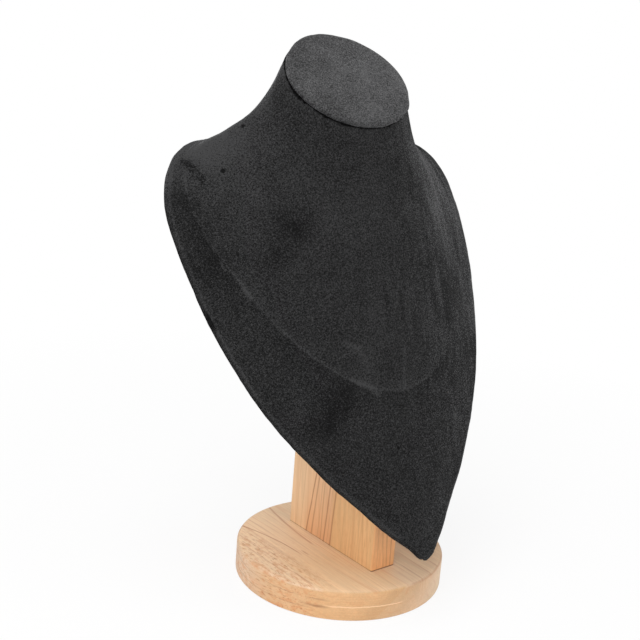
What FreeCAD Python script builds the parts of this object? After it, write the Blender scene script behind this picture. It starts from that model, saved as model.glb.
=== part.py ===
import FreeCAD, Part
import math
import os
from FreeCAD import Placement, Rotation, Vector

# Necklace stand: a suede covered bust on a slanted wooden post and a round wooden base.
# Millimetres, +Z up, the bust faces -Y, origin at the middle of the base's underside.

# Wooden base
base_diameter = 127.0
base_thickness = 18.0
base_top_bevel = 1.6
base_foot_bevel = 0.8

# Wooden post, a board standing on edge
post_depth = 80.0
post_thickness = 18.0
post_edge_rounding = 1.0

# Place of the bust: its pointed tip hangs in front of the base and its back leans on the post
tip_height = 38.5
tip_reach = 76.0
lean_angle = 32.3

# Thickness of the bust at its rim, and of the flat board behind it
rim_thickness = 4.0
back_board_thickness = 3.0

# Outline of the bust's rim, measured from the tip along the back
rim_half_width = 107.0
rim_tip_to_widest = 226.5
rim_widest_to_top = 36.5
rim_flank_power = 2.3
rim_flank_roundness = 1.03
rim_shoulder_power = 2.0
rim_shoulder_roundness = 0.255

# Sloping band between the rim and the ridge around the chest
band_at_tip = 96.0
band_at_shoulder = 9.5
band_at_top = 1.5
band_widest_drop = 1.5
ridge_front_rise = 20.5
ridge_back_rise = 1.6
ridge_flank_power = 1.65
ridge_flank_roundness = 0.53
ridge_shoulder_power = 2.5
ridge_shoulder_roundness = 0.18

# Shoulder section, just above the ridge, where the shoulders end in a blunt corner
shoulder_from_ridge = 22.0
shoulder_front_rise = 7.1
shoulder_back_rise = 4.3
shoulder_overhang = 8.8
shoulder_half_width = 84.3
shoulder_widest_share = 0.77
shoulder_front_power = 1.8
shoulder_front_roundness = 0.55
shoulder_back_power = 4.0
shoulder_back_roundness = 1.2

# Chest section, above the shoulders
chest_from_ridge = 49.0
chest_front_rise = 13.8
chest_back_rise = 13.5
chest_overhang = 20.8
chest_half_width = 68.4
chest_widest_share = 0.71
chest_front_roundness = 0.58
chest_back_power = 2.4
chest_back_roundness = 0.82

# Throat section, where the neck is at its most hollow
throat_from_chest = 59.5
throat_front_rise = 9.8
throat_back_rise = 13.8
throat_overhang = 13.7
throat_half_width = 50.2
throat_widest_share = 0.54
throat_front_roundness = 0.53

# Shape of a true oval, for the sections that end in one
oval_power = 2.0
oval_roundness = 0.5

# Neck top, a slanted oval
neck_top_half_width = 41.5
neck_top_half_depth = 33.3
neck_top_tilt = 14.6
neck_top_past_widest = 46.5
neck_top_rise = 47.9

# Oval cap that closes the neck
cap_overhang = 1.0
cap_thickness = 4.6
cap_bevel = 1.3

# Screws from below the base into the post
screw_spacing = 44.0
screw_diameter = 4.0
screw_length = 45.0
screw_head_diameter = 8.0
screw_head_height = 2.6
screw_head_depth = 1.0
screw_hole_clearance = 0.5

# Dowels between the post's slanted edge and the bust
dowel_diameter = 8.0
dowel_in_post = 22.0
dowel_in_bust = 12.0
dowel_end_gap = 1.0
dowel_spacing = 70.0
dowel_back_wall = 4.0

# Sampling of the section curves
flank_points = 7
shoulder_points = 5
flank_crowding = 1.8
fine_steps = 400

X = Vector(1, 0, 0)
Z = Vector(0, 0, 1)


# Values worked out from the sizes above

def bust_placement():
    """The bust's own frame: X across, Y up along its back, Z out of its front."""
    return Placement(Vector(0, -tip_reach, tip_height), Rotation(X, 90.0 - lean_angle))


def height_on_back(y):
    """Height of the bust's back face over the floor at the depth y."""
    lean = math.radians(lean_angle)
    return tip_height + ((y + tip_reach) * math.cos(lean) - rim_thickness) / math.sin(lean)


# Section curves of the bust

def rounded(u, power, roundness):
    """Share of the full half width at the share u of the way from the widest place to the end."""
    return max(1.0 - u ** power, 0.0) ** roundness


def evenly_spaced(curve, shares):
    """Points of a curve, given by a function of 0 to 1, at shares of its length."""
    fine = [curve(i / fine_steps) for i in range(fine_steps + 1)]
    lengths = [0.0]
    for a, b in zip(fine, fine[1:]):
        lengths.append(lengths[-1] + math.dist(a, b))
    points = []
    for share in shares:
        wanted = share * lengths[-1]
        j = next(i for i in range(fine_steps) if lengths[i + 1] >= wanted - 1e-9)
        part = (wanted - lengths[j]) / (lengths[j + 1] - lengths[j])
        points.append(tuple(a + part * (b - a) for a, b in zip(fine[j], fine[j + 1])))
    return points


def half_outline(section):
    """Points (across, along) of one half of a section, from its front over the shoulder to its back."""
    half_width = section["half_width"]
    widest = section["widest"]

    def flank(t):
        u = math.cos(0.5 * math.pi * t)
        return half_width * rounded(u, *section["front_shape"]), widest - (widest - section["front"]) * u

    def shoulder(t):
        u = 1.0 - (1.0 - t) ** 3
        return half_width * rounded(u, *section["back_shape"]), widest + (section["back"] - widest) * u

    flank_shares = [(i / flank_points) ** flank_crowding for i in range(flank_points + 1)]
    shoulder_shares = [i / shoulder_points for i in range(1, shoulder_points + 1)]
    return evenly_spaced(flank, flank_shares) + evenly_spaced(shoulder, shoulder_shares)


def section_knots():
    """One set of curve parameters for every section, from the spacing of the rim's own points."""
    points = half_outline(rim_section(0.0))
    steps = [math.dist(a, b) for a, b in zip(points, points[1:])]
    steps += steps[::-1]
    knots = [0.0]
    for step in steps:
        knots.append(knots[-1] + step / sum(steps))
    return knots


def section_wire(section):
    """Closed smooth wire of a section, in a plane that leans from its front to its back."""
    rise = section["front_rise"] - section["back_rise"]
    slope = rise / (section["back"] - section["front"])
    half = half_outline(section)
    mirrored = [(-across, along) for across, along in reversed(half[1:-1])]
    points = []
    for across, along in half + mirrored:
        points.append(Vector(across, along, section["front_rise"] - slope * (along - section["front"])))
    curve = Part.BSplineCurve()
    curve.interpolate(Points=points, PeriodicFlag=True, Parameters=section_knots())
    return Part.Wire([curve.toShape()])


def rim_section(level):
    return {
        "front": 0.0, "back": rim_tip_to_widest + rim_widest_to_top, "widest": rim_tip_to_widest,
        "half_width": rim_half_width, "front_rise": level, "back_rise": level,
        "front_shape": (rim_flank_power, rim_flank_roundness),
        "back_shape": (rim_shoulder_power, rim_shoulder_roundness),
    }


def ridge_section():
    return {
        "front": band_at_tip, "back": rim_tip_to_widest + rim_widest_to_top - band_at_top,
        "widest": rim_tip_to_widest - band_widest_drop,
        "half_width": rim_half_width - band_at_shoulder,
        "front_rise": ridge_front_rise, "back_rise": ridge_back_rise,
        "front_shape": (ridge_flank_power, ridge_flank_roundness),
        "back_shape": (ridge_shoulder_power, ridge_shoulder_roundness),
    }


def shoulder_section():
    below = ridge_section()
    front = below["front"] + shoulder_from_ridge
    back = below["back"] + shoulder_overhang
    return {
        "front": front, "back": back, "widest": front + shoulder_widest_share * (back - front),
        "half_width": shoulder_half_width,
        "front_rise": below["front_rise"] + shoulder_front_rise,
        "back_rise": below["back_rise"] + shoulder_back_rise,
        "front_shape": (shoulder_front_power, shoulder_front_roundness),
        "back_shape": (shoulder_back_power, shoulder_back_roundness),
    }


def chest_section():
    below = ridge_section()
    front = below["front"] + chest_from_ridge
    back = below["back"] + chest_overhang
    return {
        "front": front, "back": back, "widest": front + chest_widest_share * (back - front),
        "half_width": chest_half_width,
        "front_rise": below["front_rise"] + chest_front_rise,
        "back_rise": below["back_rise"] + chest_back_rise,
        "front_shape": (oval_power, chest_front_roundness),
        "back_shape": (chest_back_power, chest_back_roundness),
    }


def throat_section():
    below = chest_section()
    front = below["front"] + throat_from_chest
    back = below["back"] + throat_overhang
    return {
        "front": front, "back": back, "widest": front + throat_widest_share * (back - front),
        "half_width": throat_half_width,
        "front_rise": below["front_rise"] + throat_front_rise,
        "back_rise": below["back_rise"] + throat_back_rise,
        "front_shape": (oval_power, throat_front_roundness), "back_shape": (oval_power, oval_roundness),
    }


def neck_top_along():
    """Middle of the neck's top, measured from the tip along the back."""
    return rim_tip_to_widest + neck_top_past_widest


def neck_top_section():
    middle = neck_top_along()
    tilt = math.radians(neck_top_tilt)
    run = neck_top_half_depth * math.cos(tilt)
    rise = neck_top_half_depth * math.sin(tilt)
    return {
        "front": middle - run, "back": middle + run, "widest": middle,
        "half_width": neck_top_half_width,
        "front_rise": neck_top_rise + rise, "back_rise": neck_top_rise - rise,
        "front_shape": (oval_power, oval_roundness), "back_shape": (oval_power, oval_roundness),
    }


# Bust

def closed_solid(faces):
    shell = Part.Shell(faces)
    shell.sewShape()
    solid = Part.Solid(Part.Shell(shell.Faces))
    if solid.Volume < 0:
        solid.reverse()
    return solid


def make_bust_body():
    """The bust without its dowel holes: a rim, a sloping band, a chest with its neck and two flat ends."""
    rim_low = section_wire(rim_section(back_board_thickness - rim_thickness))
    rim_high = section_wire(rim_section(0.0))
    ridge = section_wire(ridge_section())
    shoulder = section_wire(shoulder_section())
    chest = section_wire(chest_section())
    throat = section_wire(throat_section())
    neck_top = section_wire(neck_top_section())
    faces = Part.makeLoft([rim_low, rim_high], False, True).Faces
    faces += Part.makeLoft([rim_high, ridge], False, True).Faces
    faces += Part.makeLoft([ridge, shoulder, chest, throat, neck_top], False, False).Faces
    return closed_solid(faces + [Part.Face(rim_low), Part.Face(neck_top)])


def dowel_places():
    """Places of the dowels along the bust's back. The upper hole ends a wall before the post's back."""
    lean = math.radians(lean_angle)
    corner = Vector(0, 0.5 * dowel_diameter, -rim_thickness - dowel_in_post - dowel_end_gap)
    corner_y = bust_placement().multVec(corner).y
    upper = (0.5 * post_depth - dowel_back_wall - corner_y) / math.sin(lean)
    return [upper - dowel_spacing, upper]


def dowel_hole(along):
    depth = dowel_in_post + dowel_in_bust + 2 * dowel_end_gap
    start = Vector(0, along, -rim_thickness - dowel_in_post - dowel_end_gap)
    return Part.makeCylinder(0.5 * dowel_diameter, depth, start, Z)


def make_bust_form():
    form = make_bust_body()
    for along in dowel_places():
        form = form.cut(dowel_hole(along))
    return form


def make_back_board():
    low = section_wire(rim_section(-rim_thickness))
    high = section_wire(rim_section(back_board_thickness - rim_thickness))
    board = closed_solid(Part.makeLoft([low, high], False, True).Faces + [Part.Face(low), Part.Face(high)])
    for along in dowel_places():
        board = board.cut(dowel_hole(along))
    return board


# Cap

def cap_placement():
    return Placement(Vector(0, neck_top_along(), neck_top_rise), Rotation(X, -neck_top_tilt))


def make_neck_cap():
    """An oval disc, a little wider than the neck, with its edges broken."""
    oval = Part.Ellipse(Vector(), neck_top_half_width + cap_overhang, neck_top_half_depth + cap_overhang)
    disc = Part.Face(Part.Wire(oval.toShape())).extrude(Z * cap_thickness)
    return disc.makeChamfer(cap_bevel, [edge for edge in disc.Edges if edge.Closed])


# Post and base

def screw_places():
    return [-0.5 * screw_spacing, 0.5 * screw_spacing]


def make_post():
    front = -0.5 * post_depth
    back = 0.5 * post_depth
    corners = [
        Vector(-0.5 * post_thickness, front, base_thickness),
        Vector(-0.5 * post_thickness, back, base_thickness),
        Vector(-0.5 * post_thickness, back, height_on_back(back)),
        Vector(-0.5 * post_thickness, front, height_on_back(front)),
    ]
    post = Part.Face(Part.makePolygon(corners + corners[:1])).extrude(X * post_thickness)
    upright = [e for e in post.Edges if abs(e.tangentAt(e.FirstParameter).z) > 0.999]
    post = post.makeFillet(post_edge_rounding, upright)
    for along in dowel_places():
        hole = dowel_hole(along)
        hole.Placement = bust_placement()
        post = post.cut(hole)
    for y in screw_places():
        post = post.cut(make_screw(y))
    return post


def screw_cone(y, grow):
    """The countersunk head's cone, widened by the clearance where it is a hole."""
    return Part.makeCone(0.5 * screw_head_diameter, 0.5 * screw_diameter + grow, screw_head_height - grow,
                         Vector(0, y, screw_head_depth), Z)


def make_base_disc():
    disc = Part.makeCylinder(0.5 * base_diameter, base_thickness)
    for level, bevel in ((base_thickness, base_top_bevel), (0.0, base_foot_bevel)):
        edges = [e for e in disc.Edges if e.Closed and abs(e.CenterOfMass.z - level) < 1e-6]
        disc = disc.makeChamfer(bevel, edges)
    grow = 0.5 * screw_hole_clearance
    for y in screw_places():
        recess = Part.makeCylinder(0.5 * screw_head_diameter, screw_head_depth, Vector(0, y, 0), Z)
        shank = Part.makeCylinder(0.5 * screw_diameter + grow, base_thickness, Vector(0, y, 0), Z)
        disc = disc.cut(recess).cut(screw_cone(y, grow)).cut(shank)
    return disc


def make_screw(y):
    shank = Part.makeCylinder(0.5 * screw_diameter, screw_length, Vector(0, y, screw_head_depth), Z)
    return shank.fuse(screw_cone(y, 0.0)).removeSplitter()


def make_dowel(along):
    length = dowel_in_post + dowel_in_bust
    start = Vector(0, along, -rim_thickness - dowel_in_post)
    return Part.makeCylinder(0.5 * dowel_diameter, length, start, Z)


# All pieces, in the stand's frame

def make_parts():
    on_bust = bust_placement()
    on_neck = on_bust.multiply(cap_placement())
    parts = {"base_disc": make_base_disc(), "post": make_post()}
    for number, y in enumerate(screw_places(), start=1):
        parts[f"base_screw_{number}"] = make_screw(y)
    for number, along in enumerate(dowel_places(), start=1):
        parts[f"post_dowel_{number}"] = placed(make_dowel(along), on_bust)
    parts["bust_form"] = placed(make_bust_form(), on_bust)
    parts["back_board"] = placed(make_back_board(), on_bust)
    parts["neck_cap"] = placed(make_neck_cap(), on_neck)
    return parts


def as_solid(shape):
    """The one solid of a cut or beveled shape, out of its compound."""
    return shape.Solids[0] if len(shape.Solids) == 1 else shape


def placed(shape, placement):
    moved = shape.copy()
    moved.Placement = placement.multiply(shape.Placement)
    return moved


os.makedirs("parts", exist_ok=True)
for name, made in make_parts().items():
    shape = as_solid(made)
    shape.exportStep(f"parts/{name}.step")
    box = shape.BoundBox
    print(name, shape.ShapeType, len(shape.Solids), shape.isValid(), round(shape.Volume, 1),
          [round(v, 1) for v in (box.XMin, box.XMax, box.YMin, box.YMax, box.ZMin, box.ZMax)])
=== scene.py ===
import bpy
import math
import numpy as np
from mathutils import Matrix, Vector, noise
from mathutils.bvhtree import BVHTree


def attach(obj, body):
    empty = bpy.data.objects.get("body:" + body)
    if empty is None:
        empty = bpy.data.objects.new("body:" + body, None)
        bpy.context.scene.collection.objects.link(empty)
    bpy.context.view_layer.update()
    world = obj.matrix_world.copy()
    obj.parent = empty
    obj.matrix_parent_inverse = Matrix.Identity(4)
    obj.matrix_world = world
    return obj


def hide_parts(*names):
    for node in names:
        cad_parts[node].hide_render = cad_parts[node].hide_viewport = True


# Necklace stand: suede covered bust on a wooden post and base. Metres, +Z up, the bust faces -Y.

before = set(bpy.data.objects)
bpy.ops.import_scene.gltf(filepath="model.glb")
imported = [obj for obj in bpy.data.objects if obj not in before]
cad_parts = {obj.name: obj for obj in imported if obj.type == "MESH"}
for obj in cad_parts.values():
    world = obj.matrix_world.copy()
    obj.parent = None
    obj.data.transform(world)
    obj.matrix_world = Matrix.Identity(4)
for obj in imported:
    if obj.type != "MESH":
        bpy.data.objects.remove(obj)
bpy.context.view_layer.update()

MM = 0.001
scene = bpy.context.scene

# Sizes of the stand, in millimetres, as in the CAD model

base_diameter, base_thickness = 127.0, 18.0
base_rounding = 1.7
tip_height, tip_reach, lean_angle = 38.5, 76.0, 32.3
rim_thickness = 4.0

rim_half_width, rim_tip_to_widest, rim_widest_to_top = 107.0, 226.5, 36.5
neck_top_along, neck_top_rise, neck_top_tilt = 273.0, 47.9, 14.6
neck_half_width, neck_half_depth = 41.5, 33.3
cap_overhang, cap_height, cap_crown = 1.0, 4.62, 0.55


def section(front, back, widest, half_width, front_rise, back_rise, front_shape, back_shape):
    """One outline of the bust: its places along the back, its width, its heights and its curve shapes."""
    return dict(front=front, back=back, widest=widest, half_width=half_width, front_rise=front_rise,
                back_rise=back_rise, front_shape=front_shape, back_shape=back_shape)


def rim_section(level):
    return section(0.0, rim_tip_to_widest + rim_widest_to_top, rim_tip_to_widest, rim_half_width,
                   level, level, (2.3, 1.03), (2.0, 0.255))


def upper_section(below, from_below, overhang, share, half_width, rises, front_shape, back_shape):
    """A section placed from the one below it."""
    front, back = below["front"] + from_below, below["back"] + overhang
    return section(front, back, front + share * (back - front), half_width, *rises, front_shape, back_shape)


rim_back = rim_tip_to_widest + rim_widest_to_top
ridge = section(96.0, rim_back - 1.5, rim_tip_to_widest - 1.5, rim_half_width - 9.5,
                20.5, 1.6, (1.65, 0.53), (2.5, 0.18))
shoulder = upper_section(ridge, 22.0, 8.8, 0.77, 84.3, (27.6, 5.9), (1.8, 0.55), (4.0, 1.2))
chest = upper_section(ridge, 49.0, 20.8, 0.71, 68.4, (34.3, 15.1), (2.0, 0.58), (2.4, 0.82))
throat = upper_section(chest, 59.5, 13.7, 0.54, 50.2, (44.1, 28.9), (2.0, 0.53), (2.0, 0.5))
tilt = math.radians(neck_top_tilt)
neck_top = section(neck_top_along - neck_half_depth * math.cos(tilt),
                   neck_top_along + neck_half_depth * math.cos(tilt), neck_top_along, neck_half_width,
                   neck_top_rise + neck_half_depth * math.sin(tilt),
                   neck_top_rise - neck_half_depth * math.sin(tilt), (2.0, 0.5), (2.0, 0.5))

# Section curves: closed cubic splines through a few points of each outline

flank_points, shoulder_points, flank_crowding, fine_steps = 7, 5, 1.8, 400


def evenly_spaced(curve, shares):
    """Points at shares of a curve's length."""
    fine = np.array([curve(i / fine_steps) for i in range(fine_steps + 1)])
    lengths = np.r_[0.0, np.cumsum(np.linalg.norm(np.diff(fine, axis=0), axis=1))]
    wanted = np.asarray(shares) * lengths[-1]
    return np.stack([np.interp(wanted, lengths, fine[:, k]) for k in (0, 1)], 1)


def half_outline(sec):
    """Right half of a section's outline, from its front point over its widest place to its back."""
    widest, half_width = sec["widest"], sec["half_width"]

    def rounded(u, shape):
        return max(1.0 - u ** shape[0], 0.0) ** shape[1]

    def flank_curve(t):
        u = math.cos(0.5 * math.pi * t)
        return half_width * rounded(u, sec["front_shape"]), widest - (widest - sec["front"]) * u

    def shoulder_curve(t):
        u = 1.0 - (1.0 - t) ** 3
        return half_width * rounded(u, sec["back_shape"]), widest + (sec["back"] - widest) * u

    flank_shares = [(i / flank_points) ** flank_crowding for i in range(flank_points + 1)]
    shoulder_shares = [i / shoulder_points for i in range(1, shoulder_points + 1)]
    return np.r_[evenly_spaced(flank_curve, flank_shares), evenly_spaced(shoulder_curve, shoulder_shares)]


rim_half = half_outline(rim_section(0.0))
steps = np.linalg.norm(np.diff(rim_half, axis=0), axis=1)
knots = np.r_[0.0, np.cumsum(np.r_[steps, steps[::-1]])]
knots /= knots[-1]


def closed_spline(points):
    """Second derivatives of the closed cubic spline through the points, one for each knot."""
    n = len(points)
    h = np.diff(knots)
    a = np.zeros((n, n))
    b = np.zeros((n, 3))
    for i in range(n):
        before, after = h[i - 1], h[i]
        a[i, i - 1] += before
        a[i, i] += 2 * (before + after)
        a[i, (i + 1) % n] += after
        b[i] = 6 * ((points[(i + 1) % n] - points[i]) / after - (points[i] - points[i - 1]) / before)
    return np.linalg.solve(a, b)


def section_ring(sec, at):
    """Points of a section's curve at the curve parameters."""
    half = half_outline(sec)
    flat = np.r_[half, half[1:-1][::-1] * [-1, 1]]
    slope = (sec["front_rise"] - sec["back_rise"]) / (sec["back"] - sec["front"])
    pts = np.c_[flat, sec["front_rise"] - slope * (flat[:, 1] - sec["front"])]
    bend = closed_spline(pts)
    j = np.clip(np.searchsorted(knots, at, side="right") - 1, 0, len(pts) - 1)
    k = (j + 1) % len(pts)
    h = (knots[j + 1] - knots[j])[:, None]
    u = (at - knots[j])[:, None]
    w = (knots[j + 1] - at)[:, None]
    cubic = (bend[j] * w ** 3 + bend[k] * u ** 3) / (6 * h)
    return cubic + (pts[j] / h - bend[j] * h / 6) * w + (pts[k] / h - bend[k] * h / 6) * u


around = 480


def ring_parameters():
    """Curve parameters that space the columns evenly along the rim."""
    fine = np.linspace(0.0, 1.0, 4001)[:-1]
    ring = section_ring(rim_section(0.0), fine)
    lengths = np.r_[0.0, np.cumsum(np.linalg.norm(np.diff(np.r_[ring, ring[:1]], axis=0), axis=1))]
    return np.interp(np.arange(around) / around * lengths[-1], lengths, np.r_[fine, 1.0])


at = ring_parameters()

# Mesh helpers

lean = math.radians(90.0 - lean_angle)
bust_matrix = Matrix.Translation(Vector((0, -tip_reach, tip_height))) @ Matrix.Rotation(lean, 4, "X")
bust_rotation = np.array(bust_matrix.to_3x3())
bust_origin = np.array(bust_matrix.translation)


def to_world(local):
    """Bust frame in millimetres to the stand's frame in metres."""
    return (np.asarray(local) @ bust_rotation.T + bust_origin) * MM


def to_bust(world):
    """The stand's frame in metres to the bust frame in millimetres."""
    return (np.asarray(world) / MM - bust_origin) @ bust_rotation


def mesh_object(name, verts, faces):
    """A smooth shaded piece in metres."""
    mesh = bpy.data.meshes.new(name)
    mesh.from_pydata([tuple(v) for v in verts], [], faces)
    mesh.validate()
    mesh.polygons.foreach_set("use_smooth", [True] * len(mesh.polygons))
    obj = bpy.data.objects.new(name, mesh)
    scene.collection.objects.link(obj)
    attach(obj, "root")
    return obj


def ring_faces(rows, columns):
    """Quads between neighbouring closed rings."""
    faces = []
    for r in range(rows - 1):
        for c in range(columns):
            d = (c + 1) % columns
            faces.append((r * columns + c, r * columns + d, (r + 1) * columns + d, (r + 1) * columns + c))
    return faces


def end_fans(rows, columns, first_middle, last_middle):
    """Triangles from a point to the first ring, unless it is None, and from another to the last ring."""
    faces = []
    last = (rows - 1) * columns
    for c in range(columns):
        d = (c + 1) % columns
        if first_middle is not None:
            faces.append((first_middle, d, c))
        faces.append((last_middle, last + c, last + d))
    return faces


def grid_normals(g):
    """Normals of a grid of closed rings."""
    du = np.roll(g, -1, 1) - np.roll(g, 1, 1)
    dv = np.empty_like(g)
    dv[1:-1] = g[2:] - g[:-2]
    dv[0], dv[-1] = g[1] - g[0], g[-1] - g[-2]
    n = np.cross(du, dv)
    return (n / np.maximum(np.linalg.norm(n, axis=2), 1e-9)[..., None]).reshape(-1, 3)


def add_attribute(obj, name, values):
    """Values for the vertices, for the shader. The points that close the ends take the last value."""
    values = np.r_[values, [values[-1]] * (len(obj.data.vertices) - len(values))]
    layer = obj.data.attributes.new(name, "FLOAT", "POINT")
    layer.data.foreach_set("value", np.asarray(values, np.float32))


def smooth_noise(points, size, seed):
    """Noise of about -1 to 1 at points in millimetres, with features of about the size."""
    out = np.empty(len(points))
    for i, p in enumerate(points):
        out[i] = noise.noise(Vector((p[0] / size + seed, p[1] / size - seed, p[2] / size + 0.37 * seed)))
    return out


def blob(points, centre, radius):
    """1 at the centre, falling softly to 0 at about the radius."""
    d = np.linalg.norm((points - centre) / radius, axis=-1)
    return np.exp(-(1.6 * d) ** 2)


def hump(values, middle, width):
    """1 at the middle, falling softly to 0 on both sides."""
    return np.exp(-((values - middle) / width) ** 2)


def ramp(values, start, end):
    """0 up to the start, rising evenly to 1 at the end."""
    return np.clip((values - start) / (end - start), 0, 1)


# Bust surface

def lofted(rings, shares):
    """Smooth surface through the rings, at shares of the way from the first to the last."""
    chords = [np.linalg.norm(b - a, axis=1).mean() for a, b in zip(rings, rings[1:])]
    t = np.r_[0.0, np.cumsum(chords)] / sum(chords)
    out = []
    for s in shares:
        total = 0
        for i in range(len(rings)):
            weight = 1.0
            for j in range(len(rings)):
                if j != i:
                    weight *= (s - t[j]) / (t[i] - t[j])
            total = total + weight * rings[i]
        out.append(total)
    return out


rim_ring = section_ring(rim_section(0.0), at)
ridge_ring = section_ring(ridge, at)
run = np.roll(rim_ring, -1, 0) - np.roll(rim_ring, 1, 0)
outward = np.c_[run[:, 1], -run[:, 0], np.zeros(around)]
outward /= np.linalg.norm(outward, axis=1)[:, None]
if (outward * (rim_ring - [0, 150, 0])).sum() < 0:
    outward = -outward

# Rows of the rim, from the hem behind it, round its edge: (way out, height)
hem_width, hem_lift = 9.0, 0.4
rim_back_z = -rim_thickness
rim_profile = [(-hem_width - 0.4, rim_back_z + 1.2), (-hem_width, rim_back_z + hem_lift),
               (-hem_width + 0.8, rim_back_z), (-hem_width * 0.66, rim_back_z),
               (-hem_width * 0.33, rim_back_z), (-1.1, rim_back_z), (-0.5, rim_back_z + 0.12),
               (-0.15, rim_back_z + 0.45), (0.0, rim_back_z + 0.95), (0.0, -2.5), (0.0, -2.0),
               (0.0, -1.5), (0.0, -0.95), (-0.14, -0.5), (-0.45, -0.12)]
rings = [rim_ring + outward * off + [0, 0, z] for off, z in rim_profile]
rim_back_row, rim_front_row = 4, 10

# Rows of the band between the rim and the ridge, closer together at both
band_rows = 46
band_slope_start = 0.006
band_start = len(rings)
for s in 0.5 - 0.5 * np.cos(math.pi * np.linspace(0, 1, band_rows + 1)[:-1]):
    s = band_slope_start + (1 - band_slope_start) * s
    rings.append(rim_ring * (1 - s) + ridge_ring * s)
ridge_row = len(rings)

# Rows of the body, from the ridge to the groove below the cap
body_sections = [ridge_ring] + [section_ring(sec, at) for sec in (shoulder, chest, throat, neck_top)]
body_length = sum(np.linalg.norm(b - a, axis=1).mean() for a, b in zip(body_sections, body_sections[1:]))
groove_start = 1.5
body_shares = np.r_[0, 0.002, 0.005, 0.01, 0.018, 0.03, 0.045,
                    np.linspace(0.06, 1 - groove_start / body_length, 103)]
rings += lofted(body_sections, body_shares)
body_end = len(rings)

# Groove between the neck and its cap: (way down from the neck's top, way in, painted shade)
groove_profile = [(1.3, 0.0, 0.0), (1.12, 0.2, 0.6), (1.0, 0.7, 1.0), (0.85, 1.2, 1.0), (0.6, 1.6, 1.0),
                  (0.3, 1.75, 1.0), (0.1, 2.2, 1.0)]
top_middle = np.array([0, neck_top_along, neck_top_rise])
top_normal = np.array([0, math.sin(tilt), math.cos(tilt)])
top_ring = body_sections[-1]
ragged = smooth_noise(top_ring, 2.6, 6.3) + 0.6 * smooth_noise(top_ring, 9.0, 1.3)
for drop, inset, _ in groove_profile:
    ring = lofted(body_sections, [1 - drop / body_length])[0]
    inward = top_middle - ring
    inward -= np.outer(inward @ top_normal, top_normal)
    inward /= np.linalg.norm(inward, axis=1)[:, None]
    inward *= (inset * (1 + 0.25 * ragged))[:, None]
    rings.append(ring + inward - np.outer(0.95 * ragged * min(drop, 1.0), top_normal))
inward = top_middle - top_ring
inward /= np.linalg.norm(inward, axis=1)[:, None]
rings.append(top_ring + inward * 9.0)
grid = np.array(rings)
rows = len(grid)

# The body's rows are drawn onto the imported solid
cad_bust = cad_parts["bust_form"]
tree = BVHTree.FromPolygons([v.co.copy() for v in cad_bust.data.vertices],
                            [tuple(p.vertices) for p in cad_bust.data.polygons])
for r in range(ridge_row + 1, body_end):
    grid[r] = to_bust([tree.find_nearest(Vector(p))[0] for p in to_world(grid[r])])

# Soft ridge: a few rounds of smoothing across it
for _ in range(6):
    for r in range(ridge_row - 2, ridge_row + 5):
        grid[r] = grid[r] * 0.5 + (grid[r - 1] + grid[r + 1]) * 0.25

flat = grid.reshape(-1, 3)
normals = grid_normals(grid)
row_of = np.repeat(np.arange(rows), around)
fade = ramp(row_of, 12, 18) * ramp(row_of, body_end, body_end - 10)

# Soft unevenness of the cloth
push = 0.22 * smooth_noise(flat, 34.0, 3.1) + 0.10 * smooth_noise(flat, 11.0, 8.7)
push *= fade

# Wrinkled patch near the left shoulder
near_shoulder = blob(flat, (-90.3, 239.5, 6.2), 13.0)
folds = np.sin((flat[:, 0] * 0.6 + flat[:, 1] * 0.8) * 1.9 + 2.2 * smooth_noise(flat, 6.0, 5.0))
push += 0.42 * near_shoulder * folds

# Raised bits where the cloth lies double along the ridge
push += 0.7 * blob(flat, (-84.0, 166.5, 13.5), (4.0, 8.0, 6.0))
push += 0.7 * blob(flat, (-24.0, 100.5, 20.0), (9.0, 3.5, 6.0))
push += 0.35 * blob(flat, (-30.5, 123.0, 26.0), (10.0, 4.0, 8.0))

# Fuller cloth over the left shoulder, beside the neck
push += 1.1 * blob(flat, (-66.0, 253.0, 17.0), (34.0, 26.0, 26.0)) * fade
push += 1.3 * blob(flat, (-76.0, 257.0, 6.0), (14.0, 9.0, 10.0))
push += 0.5 * blob(flat, (-64.0, 260.0, 17.0), (11.0, 9.0, 9.0))

# Specks: small dark dents, (centre, radius, darkness)
specks = [((-77.6, 234.1, 15.7), 1.7, 1.6), ((-8.9, 65.2, 12.9), 1.1, 1.4), ((-81.4, 185.9, 13.9), 1.0, 0.7),
          ((-84.5, 183.6, 13.0), 0.9, 0.6), ((-60.6, 257.6, 21.7), 1.6, 1.6)]
dent_depth, dent_radius = 0.5, 2.0
for centre, _, _ in specks:
    push -= dent_depth * blob(flat, centre, dent_radius)

flat += normals * push[:, None]

# Rim: uneven glued edge, and a blunt, ragged tip
band_share = ramp(row_of, band_start, band_start + band_rows)
edge = ramp(row_of, 2, 5) * ramp(band_share, 0.62, 0.12)
at_rim = ramp(row_of, 2, 4) * ramp(band_share, 0.30, 0.12)
rim_places = np.tile(rim_ring, (rows, 1))
rim_x, rim_y = rim_places[:, 0], rim_places[:, 1]
edge_noise = smooth_noise(rim_places, 9.0, 1.7) * 0.25 + smooth_noise(rim_places, 3.0, 4.4) * 0.14
tip_share = hump(rim_y, 0.0, 8.0)
bottom_share = hump(rim_y, 0.0, 2.6) * hump(rim_x, 0.0, 5.0)
lumps = smooth_noise(rim_places + [0, 0, 0.4] * row_of[:, None], 2.3, 9.1)
lumps *= 0.6 * tip_share * (1 - 0.7 * bottom_share)
right_fullness = 2.6 * hump(rim_y, 13.0, 12.0) * (rim_x > 0)
left_fullness = 0.65 * hump(rim_y, 15.0, 4.5) * (rim_x < 0)
blunting = -1.9 * bottom_share

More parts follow.
